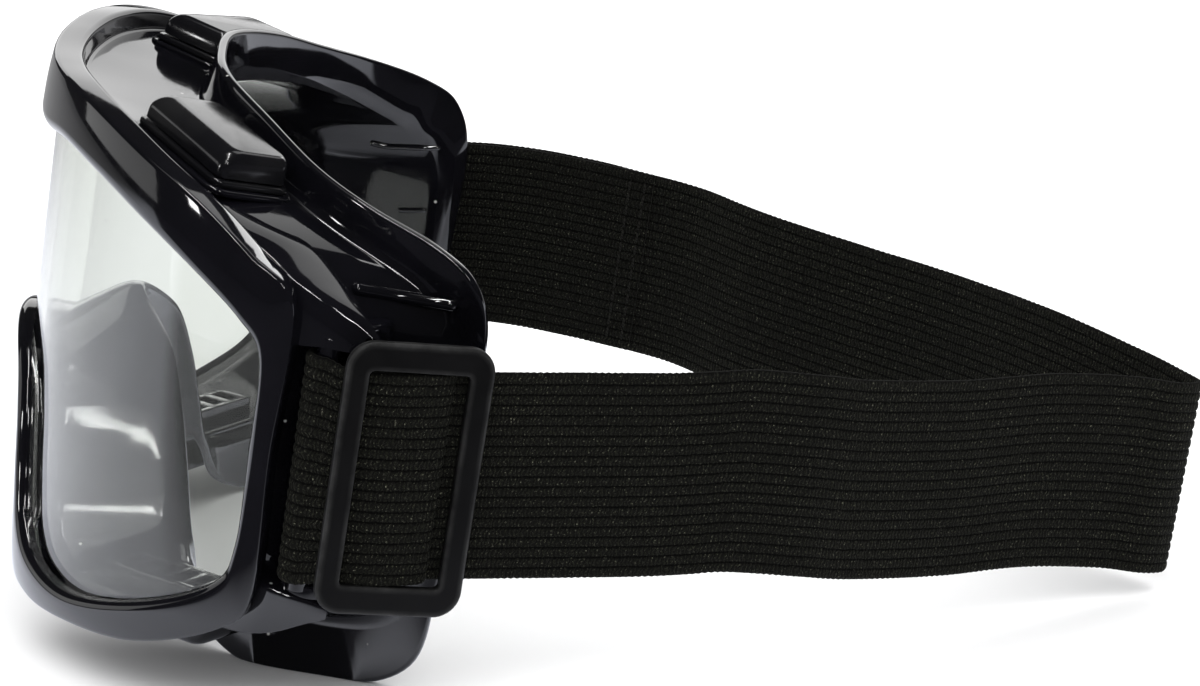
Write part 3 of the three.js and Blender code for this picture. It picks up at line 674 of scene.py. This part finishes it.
def on_surface(piece, points, lift=0.15):
    """Points moved onto the nearest face of a piece, and out of it by lift millimetres."""
    mesh = piece.data
    tree = BVHTree.FromPolygons([v.co for v in mesh.vertices], [f.vertices[:] for f in mesh.polygons])
    found = [tree.find_nearest(Vector(p)) for p in placed(points)]
    moved = [place + normal * lift * MM for place, normal, _, _ in found]
    return (np.array(moved) / MM - ORIGIN) @ TILT


def build_beads(shell):
    """Small moulded features: a bead on each temple, a mark by each top vent, and ribs inside the flange."""
    bead = [(63.0, 30.6, 74.9), (62.2, 35, 74.5), (61.9, 39, 74.2), (62.2, 44, 74.1), (62.9, 48.0, 74.1)]
    upper = [(59.9, 34.6, 68.5), (60.5, 38, 68.9), (60.6, 41, 69.4), (60.4, 45, 70.0), (60.1, 48.2, 70.4)]
    lower = [(60.6, 41.7, 56.9), (60.4, 44.5, 57.3), (60.1, 47.3, 57.8)]
    mark_centre = np.array([46.6, 13.9, 83.35])
    mark_reach = np.array([[0.95, 0, -0.28], [0, 0.95, -0.16]])
    for side, where in ((1, "left"), (-1, "right")):
        turned = np.array([side, 1, 1])
        finish_piece(rod(f"temple_bead_{where}", np.array(bead) * turned, 1.15,
                         np.array([0.75 * side, 0, 0.66])), "goggles", "soft_frame")
        for points, level in ((upper, "upper"), (lower, "lower")):
            hugging = on_surface(shell, np.array(points) * turned)
            finish_piece(rod(f"flange_rib_{level}_{where}", hugging, 0.5,
                             np.array([-side, 0, 0.1])), "goggles", "soft_frame")
        turn = np.linspace(0, 2 * math.pi, 25)[:, None]
        ring = mark_centre + mark_reach[0] * np.cos(turn) + mark_reach[1] * np.sin(turn)
        ring = on_surface(shell, ring * turned, 0.0)
        finish_piece(rod(f"mould_mark_{where}", ring, 0.24,
                         np.array([0.3 * side, 0.1, 0.95])), "goggles", "soft_frame")


def build_lens():
    """The clear sheet, as upright slices from one temple to the other."""
    stations = np.arange(0, SPANS // 2 * 16 + 1) / (SPANS * 16)
    inner, outer = opening_at(stations), rim_at(stations)
    t = (LENS_OVERLAP / rim_width(stations))[:, None]
    outline = (inner + (outer - inner) * t)[:, :2]
    widest = int(np.argmax(outline[:, 0]))
    top, bottom = outline[: widest + 1], outline[widest:][::-1]
    spread = np.sin(np.linspace(0, math.pi / 2, 90))
    angle = outline[widest, 0] * spread
    high = np.interp(angle, np.maximum.accumulate(top[:, 0]), top[:, 1])
    low = np.interp(angle, np.maximum.accumulate(bottom[:, 0]), bottom[:, 1])
    angle = np.concatenate([-angle[:0:-1], angle])
    high = np.concatenate([high[:0:-1], high])
    low = np.concatenate([low[:0:-1], low])
    levels = 24
    rings = []
    for front in (0.0, -LENS_THICKNESS):
        rows = range(levels + 1) if front == 0 else range(levels, -1, -1)
        for k in rows:
            rings.append(on_lens(angle, low + (high - low) * k / levels, front))
    lens = lofted("lens_sheet", np.array(rings).transpose(1, 0, 2), False, CLEAR, sharp=60)
    return finish_piece(lens, "goggles", "clear_lens", "lens")


# ---------- Vents ----------
def vent_axes(vent):
    """A vent's seat on the wall: its origin, and its axes round the outline, rearwards and outwards."""
    def middle(u):
        return (wall_foot(np.array([u % 1.0])) + corner_at(u % 1.0))[0] / 2
    u = vent["station"] / SPANS
    around = unit(middle(u + 0.01) - middle(u - 0.01))
    rear = (corner_at(u % 1.0) - wall_foot(np.array([u % 1.0])))[0]
    rear = unit(rear - around * np.dot(rear, around))
    out = np.cross(around, rear)
    seat = middle(u) + rear * vent["back"] + out * vent["out"]
    return seat, np.stack([around, rear, out])


def rounded_block(name, rings_at, axes, material, sharp=40):
    """A stack of outlines at rising heights: rings_at is a list of (2D outline, height)."""
    seat, turn = axes
    rings = np.array([np.column_stack([ring, np.full(len(ring), z)]) for ring, z in rings_at])
    return lofted(name, seat + rings @ turn, False, material, sharp=sharp)


def plate_rings(length, width, corner, low, high, edge):
    """Outlines and heights of a plate whose lower and upper rims are rounded."""
    rings = []
    quarter = [k / 3 * math.pi / 2 for k in range(4)]
    for a, upper in [(a, False) for a in quarter] + [(a, True) for a in reversed(quarter)]:
        inset = 2 * edge * (1 - math.sin(a))
        rise = edge * (1 - math.cos(a))
        rings.append((rounded_outline(length - inset, width - inset, corner),
                      high - rise if upper else low + rise))
    return rings


def cap_rings():
    """Outlines and heights of a cap: upright sides, then a round that is widest along the front."""
    low = VENT["plate"] + GAP
    high = VENT["height"]
    front_round, side_round, rear_round = 3.2, 1.9, 0.9
    rings = []
    for z, level in [(low, 0.0), (low + 0.4, 0.0)]:
        rings.append((rounded_outline(VENT["length"], VENT["width"], 1.7, 6), z))
    steps = 9
    for i in range(steps + 1):
        a = i / steps * math.pi / 2
        z = high - front_round * (1 - math.sin(a)) * 0.98
        inset = 1 - math.cos(a)
        x_in = side_round * inset
        front_in = front_round * inset
        rear_in = rear_round * inset
        outline = rounded_outline(VENT["length"] - 2 * x_in, VENT["width"] - front_in - rear_in, 1.7, 6)
        rings.append((outline + [0, (front_in - rear_in) / 2], z))
    return rings


def build_vents():
    """On each seat: a plate, a grille of bars and rails that reaches down through the wall, and a cap."""
    length, width, plate = VENT["length"], VENT["width"], VENT["plate"]
    low, high, pitch = GRILLE["low"], GRILLE["high"], GRILLE["pitch"]
    for vent in VENTS:
        axes = vent_axes(vent)
        base = rounded_block(f"vent_plate_{vent['name']}", plate_rings(
            length + 1.6, width + 1.6, 2.4, GAP - 0.25, plate, 0.35), axes, VENT_PLASTIC)
        finish_piece(base, "goggles", "vent_plastic", f"vent_base_{vent['name']}")
        for k in range(-3, 3):
            across_bar = [(ring + [(k + 0.5) * pitch, 0], z) for ring, z in plate_rings(
                1.7, GRILLE["width"], 0.5, low, high, 0.2)]
            bar = rounded_block(f"vent_grille_{vent['name']}_{k + 4}", across_bar, axes, VENT_PLASTIC)
            finish_piece(bar, "goggles", "vent_plastic")
        for end in (1, -1):
            along_rail = [(ring + [0, end * GRILLE["rail_out"]], z) for ring, z in plate_rings(
                GRILLE["length"], 1.4, 0.5, low, high, 0.2)]
            rail = rounded_block(f"vent_rail_{vent['name']}_{(end + 3) // 2}", along_rail, axes, VENT_PLASTIC)
            finish_piece(rail, "goggles", "vent_plastic")
        pad = rounded_block(f"vent_seat_{vent['name']}", plate_rings(
            length + 4, width + 3.6, 4.0, -1.2, 0.02, 0.4), axes, PVC)
        finish_piece(pad, "goggles", "soft_frame")
        cap = rounded_block(f"vent_cover_{vent['name']}", cap_rings(), axes, VENT_PLASTIC, sharp=50)
        finish_piece(cap, "goggles", "vent_plastic", f"vent_cap_{vent['name']}")


# ---------- Webbing ----------
def ribbon(name, path, spacing, width, thickness, body, nodes, upright=(0, 0, 1), start=0.0,
           bulge=0.3, flare=0.0):
    """Ribbed webbing standing on edge along a path, with beaded edges; its map runs in millimetres.

    spacing is between its sections, start is where its pattern starts, bulge is how far the ribs stand
    out, and flare is how much wider it is over its first FLARE_RUN, from where that fades.
    """
    length, at_distance = by_length(path)
    count = max(4, int(length / spacing))
    s = np.linspace(0, length, count + 1)
    u = at_distance(s)
    centre = path(u)
    ahead = tangent(path, u, closed=False)
    upright = unit(upright)
    outward = unit(np.cross(ahead, upright))
    levels = RIBS * 6
    v = np.arange(levels + 1) / levels
    swell = np.abs(np.sin(math.pi * v * RIBS)) ** 0.6
    swell[[0, -1]] = 0.0
    across_width = (v - 0.5) * width
    spread = 1 + flare * (1 - np.clip((s - FLARE_RUN) / FLARE_RUN, 0, 1)) ** 2
    rng = np.random.default_rng(7)
    wander = spline(rng.normal(0, 0.05, (count // 14 + 3, 1)))(np.linspace(0, 1, count + 1))[:, 0]
    bead = EDGE_BEAD["size"] * np.abs(np.sin(math.pi * (s + start) / EDGE_BEAD["pitch"]))
    edge_pull = np.zeros(levels + 1)
    edge_pull[0], edge_pull[-1] = -1, 1
    rings = []
    for face in (1, -1):
        order = range(levels + 1) if face == 1 else range(levels, -1, -1)
        for k in order:
            at_edge = k in (0, levels)
            half = thickness / 2 * 0.55 if at_edge else thickness / 2 + bulge * (swell[k] - 0.72)
            high = across_width[k] * (spread + wander * 0.01) + edge_pull[k] * bead
            rings.append(centre + outward * face * half + upright * high[:, None])
    rings = np.array(rings).transpose(1, 0, 2)
    side = np.concatenate([v, v[::-1]])
    uv = np.stack(np.broadcast_arrays((s + start)[:, None], side[None, :]), -1).reshape(-1, 2)
    piece = lofted(name, rings, False, WEBBING, sharp=75, uv=uv)
    if nodes:
        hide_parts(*nodes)
    if body:
        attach(piece, body)
    return piece


def run_point(y):
    """A point on the band's straight run back from the near post."""
    past = y - RUN["y"]
    return np.array([RUN["x"] + RUN["slope_x"] * past, y, RUN["z"] + RUN["slope_z"] * past])


RUN_AHEAD = unit([RUN["slope_x"], 1, RUN["slope_z"]])
RUN_OUT = unit([RUN_AHEAD[1], -RUN_AHEAD[0], 0])
TILTED_AHEAD = RUN_AHEAD * math.cos(SLIDER["tilt"]) - np.cross(RUN_OUT, RUN_AHEAD) * math.sin(SLIDER["tilt"])
TILTED_UP = np.cross(RUN_OUT, TILTED_AHEAD)


def at_slider(along, outward):
    """A point fixed to the slider: along the run from its middle, and outwards from the band."""
    return run_point(SLIDER["y"]) + RUN_AHEAD * along + RUN_OUT * outward


def on_slider(along, outward, up):
    """A point of the slider itself, which leans back from square to the band."""
    return run_point(SLIDER["y"]) + TILTED_AHEAD * along + RUN_OUT * outward + TILTED_UP * up


def fold_points(side, z, steps=9):
    radius = POST["radius"] + GAP + BAND_THICKNESS / 2
    angle = np.radians(np.linspace(180, 360, steps))
    return [(side * (POST["x"] + radius * math.cos(a)), POST["y"] + radius * math.sin(a), z) for a in angle]


BAND_REAR = [
    (54.8, 111, 50.4), (50, 120, 50), (41, 137, 49.3), (33, 153, 49), (27, 167.5, 49), (24.8, 176, 49),
    (21.5, 180.6, 49), (17.5, 179.6, 49), (7.8, 172.6, 49.2), (-7, 158.8, 49.6), (-25.5, 142.8, 50),
    (-37.5, 127, 50.5), (-48.5, 110, 51), (-60, 98.8, 51.2), (-66, 88.5, 51.5), (-71, 78, 51.7),
    (-73.8, 66, 51.7), (-74.8, 54, 51), (-75, 40, 49.1),
]
BAND_TAIL = [(-70.6, 34, 48.9), (-72.9, 42, 49.3), (-73.25, 54, 51), (-72.2, 65.8, 51.7),
             (-69.4, 77.6, 51.7), (-64.4, 90.2, 51.6)]


def band_path():
    run = [tuple(run_point(y)) for y in np.arange(32, RUN["end_y"] + 0.1, 6.7)]
    points = np.array(fold_points(1, RUN["z"]) + run + BAND_REAR + fold_points(-1, 48.9)[::-1] + BAND_TAIL)
    past = points[:, 1] - SLACK["from_y"]
    slack = np.clip(past / SLACK["fade"], 0, 1) * SLACK["height"]
    points[:, 2] += slack * np.sin(past / SLACK["wave"]) * np.where(points[:, 0] > -20, 1, 0.4)
    return spline(points)


def end_loop_path():
    round_bar = SLIDER["bar_thickness"] / 2 + GAP + LOOP_THICKNESS / 2
    turn = SLIDER["bar_width"] / 2 - 0.2
    points = [(SEWN["front"], SEWN["outer"]), (-6.5, SEWN["outer"]), (-3.2, round_bar - BAR_DEPTH),
              (0.6, round_bar - BAR_DEPTH)]
    for degrees in (75, 45, 0, -45, -75):
        a = math.radians(degrees)
        points.append((turn + round_bar * math.cos(a), round_bar * math.sin(a) - BAR_DEPTH))
    points += [(0.6, -round_bar - BAR_DEPTH), (-3.2, -round_bar - BAR_DEPTH), (-6.5, SEWN["inner"]),
               (SEWN["front"], SEWN["inner"])]
    return spline([at_slider(a, o) for a, o in points])


def tail_path():
    inner = POST["x"] - POST["radius"] - GAP - BAND_THICKNESS / 2
    return spline([(inner, POST["y"] - 0.3, RUN["z"]), (inner, POST["y"] + 2.5, RUN["z"]),
                   tuple(at_slider(SEWN["front"] - 1.1, SEWN["inner"])),
                   tuple(at_slider(SEWN["front"] + 0.3, SEWN["inner"]))])


def build_webbing():
    ribbon("headband_webbing", band_path(), 0.55, BAND_WIDTH, BAND_THICKNESS, "goggles", ["headband"],
           flare=0.09)
    tail = ribbon("headband_inner_layer", tail_path(), 0.5, BAND_WIDTH, LOOP_THICKNESS, None,
                  ["headband_tail"], upright=TILTED_UP, bulge=0.12)
    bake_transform(tail)
    ribbon("headband_sewn_loop", end_loop_path(), 0.4, BAND_WIDTH, LOOP_THICKNESS, "slider",
           ["headband_end_loop"], upright=TILTED_UP, bulge=0.12)
    hump = spline([at_slider(a, o) for a, o in (
        (-10.2, 0.15), (-8.6, 0.5), (-6.8, 1.15), (-4.2, 1.8), (-1.2, 2.05), (1.8, 2.0), (4.0, 1.75),
        (5.4, 1.25), (6.1, 0.5), (6.3, -0.4))])
    ribbon("headband_over_bar", hump, 0.4, BAND_WIDTH + 0.7, 0.9, "slider", [], upright=TILTED_UP,
           start=2.0)


# ---------- Slider ----------
def build_slider():
    """A flat ring with rounded outer edges round a window, and a bar behind it on two legs."""
    low = BAND_THICKNESS / 2 + GAP
    high = low + SLIDER["thickness"]
    outer = rounded_outline(SLIDER["length"], SLIDER["height"], SLIDER["corner"], 10)
    inner = rounded_outline(SLIDER["window_length"], SLIDER["window_height"], 0.9, 10)
    middle = outer + (inner - outer) * 0.5

    def ring(outline, inset_from, amount, out):
        toward = unit(inset_from - outline)
        return [on_slider(x, out, y) for x, y in outline + toward * amount]

    edge_round, window_round = 0.65, 0.35
    # The second number in each row weights the greyer edge colour: partly wear, partly a painted highlight on
    # the rounded edges and sides.
    rows = [(ring(outer, middle, 0.9, low), 0.4), (ring(outer, middle, 0.35, low + 0.12), 0.9),
            (ring(outer, middle, 0.05, low + 0.5), 1.0)]
    for i in range(6):
        a = i / 5 * math.pi / 2
        inset, drop = edge_round * (1 - math.cos(a)), edge_round * (1 - math.sin(a))
        rows.append((ring(outer, middle, inset, high - drop), 1.0 if 0 < i < 5 else 0.5))
    rows.append((ring(outer, middle, 1.2, high), 0.0))
    rows.append((ring(outer, middle, 2.2, high - 0.04), 0.0))
    rows.append((ring(inner, middle, 1.0, high - 0.1), 0.0))
    for i in range(4):
        a = i / 3 * math.pi / 2
        inset, drop = window_round * (1 - math.sin(a)), window_round * (1 - math.cos(a))
        rows.append((ring(inner, middle, inset, high - 0.1 - drop), 0.6))
    rows.append((ring(inner, middle, 0.0, low + 0.3), 0.1))
    rows.append((ring(inner, middle, 0.3, low), 0.1))
    rings = np.array([r for r, _ in rows]).transpose(1, 0, 2)
    points, faces = loft(rings, True)
    body = make("slider_ring", points, faces, SLIDER_PLASTIC, sharp=55)
    # Stored as the edge attribute that slider_plastic paints greyer, partly as wear and partly as a painted
    # highlight.
    edge = body.data.attributes.new("edge", "FLOAT", "POINT")
    edge.data.foreach_set("value", np.tile([w for _, w in rows], len(outer)).astype(np.float32))
    finish_piece(body, "slider", "slider_plastic", "slider")

    depth = SLIDER["bar_thickness"] / 2
    bar_outline = rounded_outline(SLIDER["bar_width"], 2 * depth, depth * 0.95, 6)
    reach = (SLIDER["height"] - 3) / 2
    bar = np.array([[on_slider(x, z - BAR_DEPTH, up) for x, z in bar_outline] for up in (-reach, reach)])
    finish_piece(lofted("slider_bar", bar, False, SLIDER_PLASTIC), "slider", "slider_plastic")
    for end, where in ((1, "top"), (-1, "bottom")):
        outline = rounded_outline(SLIDER["bar_width"], 2.8, 0.7, 6)
        heights = (-BAR_DEPTH - depth + 0.2, low + 0.4)
        leg = np.array([[on_slider(x, h, end * (reach - 1.7) + y) for x, y in outline] for h in heights])
        finish_piece(lofted(f"slider_leg_{where}", leg, False, SLIDER_PLASTIC), "slider", "slider_plastic")


# ---------- Stitching ----------
def stitches(name, base, ahead, outward, up, body, node):
    """One row of lock stitches from edge to edge: short humps of thread that dip at both ends."""
    count = 13
    pitch = (BAND_WIDTH - 3) / count
    thread = 0.22
    points, faces = [], []
    for k in range(count):
        middle = base + up * (k - (count - 1) / 2) * pitch
        rings = []
        for i in range(9):
            t = i / 8 * 2 - 1
            centre = middle + up * t * pitch * 0.42 + outward * (0.30 * (1 - t * t) - 0.12)
            size = thread * math.sqrt(max(0.08, 1 - t**4))
            angle = np.arange(8) / 8 * 2 * math.pi
            rings.append([centre + (ahead * math.cos(a) + outward * math.sin(a)) * size for a in angle])
        p, f = loft(np.array(rings), False)
        faces += [[i + len(points) for i in face] for face in f]
        points += list(p)
    return finish_piece(make(name, points, faces, THREAD), body, "thread", node)


def build_stitching():
    path = band_path()
    length, at_distance = by_length(path)
    up = np.array([0, 0, 1.0])
    for name, from_end in (("rear", 1.6), ("front", 4.6)):
        u = at_distance(length - from_end)
        ahead = tangent(path, np.array([u]), closed=False)[0]
        outward = unit(np.cross(ahead, up))
        base = path(u)[0] + outward * (BAND_THICKNESS / 2 + 0.05)
        stitches(f"anchor_thread_{name}", base, ahead, outward, up, "goggles", f"anchor_stitching_{name}")
    base = at_slider(SEWN["front"] + 1.6, SEWN["inner"] - LOOP_THICKNESS / 2 - 0.05)
    stitches("slider_thread", base, TILTED_AHEAD, -RUN_OUT, TILTED_UP, "slider", "slider_stitching")


# ---------- Stage ----------
def build_stage():
    floor = bpy.data.meshes.new("floor")
    size = 4.0
    corners = [(-size, -size, 0), (size, -size, 0), (size, size, 0), (-size, size, 0)]
    floor.from_pydata(corners, [], [(0, 1, 2, 3)])
    floor.materials.append(pale_floor())
    plane = bpy.data.objects.new("floor", floor)
    bpy.context.scene.collection.objects.link(plane)
    plane.location.z = float(cad_low[2]) - 0.0002


def area_light(name, place, aim, size, radiance, diffuse=True, glossy=True):
    light = bpy.data.lights.new(name, "AREA")
    light.shape = "RECTANGLE"
    light.size, light.size_y = size
    light.energy = radiance * math.pi * size[0] * size[1]
    holder = bpy.data.objects.new(name, light)
    holder.location = place
    holder.rotation_mode = "QUATERNION"
    holder.rotation_quaternion = (Vector(aim) - Vector(place)).to_track_quat("-Z", "Y")
    holder.visible_camera = False
    holder.visible_diffuse = diffuse
    holder.visible_glossy = glossy
    bpy.context.scene.collection.objects.link(holder)


def build_world():
    """Near white to look at and to light with, and nearly black in mirrored surfaces."""
    world = bpy.data.worlds.new("studio")
    bpy.context.scene.world = world
    world.use_nodes = True
    nodes, links = world.node_tree.nodes, world.node_tree.links
    background = nodes["Background"]
    background.inputs["Color"].default_value = (1, 1, 1, 1)
    rays = nodes.new("ShaderNodeLightPath").outputs
    strength = None
    for ray, amount in (("Is Glossy Ray", 0.03), ("Is Transmission Ray", 0.95), ("Is Camera Ray", 0.95)):
        mix = nodes.new("ShaderNodeMix")
        links.new(rays[ray], mix.inputs[0])
        if strength is None:
            mix.inputs[2].default_value = 0.9
        else:
            links.new(strength, mix.inputs[2])
        mix.inputs[3].default_value = amount
        strength = mix.outputs[0]
    links.new(strength, background.inputs["Strength"])


def build_lights():
    """Broad light for the floor and the cloth, and separate panels to be mirrored by the glossy frame."""
    area_light("overhead", (0.0, 0.0, 1.6), (0, 0, 0), (3.0, 3.0), 1.5, glossy=False)
    area_light("from_camera_side", (1.2, -0.3, 0.9), (0, 0, 0.04), (0.8, 0.8), 0.25, glossy=False)
    area_light("low_panel", (-1.4, 0.2, 0.42), (0, 0, 0.06), (1.8, 0.55), 1.6, diffuse=False)
    area_light("shoulder_panel", (-0.6, 0.5, 1.0), (0, 0, 0.06), (0.6, 0.55), 1.5, diffuse=False)
    area_light("rim_panel", (-0.85, 0.5, 0.55), (0, 0, 0.07), (0.24, 0.2), 5.5, diffuse=False)
    area_light("ceiling_panel", (-0.12, -0.05, 1.2), (0, 0, 0.05), (0.4, 0.5), 1.0, diffuse=False)
    area_light("ceiling_strip", (0.2, 0.0, 1.2), (0, 0, 0.05), (0.05, 1.1), 40, diffuse=False)
    area_light("front_panel", (-0.3, -1.2, 0.35), (0, 0, 0.05), (0.9, 0.5), 1.1, diffuse=False)
    area_light("lamp_front", (0.45, -0.9, 0.35), (0, 0, 0.05), (0.1, 0.16), 30, diffuse=False)
    area_light("lamp_high", (0.87, -0.13, 0.87), (0, 0, 0.03), (0.028, 0.45), 45, diffuse=False)
    area_light("lamp_side", (1.03, 0.17, 0.63), (0, 0, 0.03), (0.04, 0.3), 45, diffuse=False)


make_camera()
shell = build_frame()
build_ears()
build_shoulders()
build_beads(shell)
build_lens()
build_vents()
build_webbing()
build_slider()
build_stitching()
build_stage()
build_world()
build_lights()
bpy.context.scene.view_settings.view_transform = "Standard"
